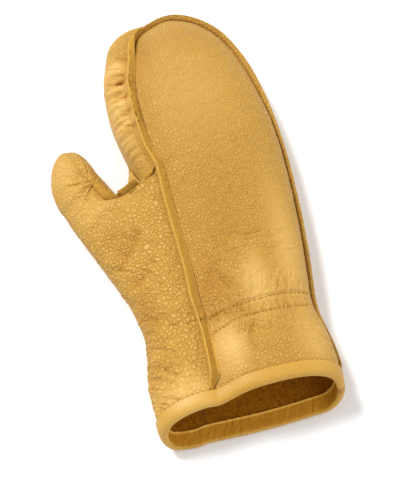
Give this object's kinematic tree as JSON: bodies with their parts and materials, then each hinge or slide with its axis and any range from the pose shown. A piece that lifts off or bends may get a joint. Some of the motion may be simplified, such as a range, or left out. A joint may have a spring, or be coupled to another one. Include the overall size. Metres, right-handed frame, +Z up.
{
  "type": "leather mitten",
  "caption": "Stuffed leather work mitten for the right hand, lying palm down, with a raised seam round the back, a puckered finger side, a welted thumb and a rolled, open cuff.",
  "frame": {"origin": "centre of the bounding box's bottom face, on the surface that the mitten lies on", "axes": "+Y from the cuff to the fingertips, +Z up from the palm to the back of the hand, thumb on the -X side"},
  "size_m": [0.1578, 0.3048, 0.044],
  "materials": {
    "back_leather": "semi-matt, fine grain",
    "palm_leather": "semi-matt, pebbled grain",
    "thumb_leather": "semi-matt, pebbled grain",
    "welt_leather": "matt flesh side",
    "binding_leather": "semi-matt, smooth grain"
  },
  "bodies": {
    "root": {"back_panel": "back_leather", "palm_panel": "palm_leather", "thumb_panel": "thumb_leather", "thumb_welt": "welt_leather", "cuff_binding": "binding_leather"}
  },
  "joints": []
}
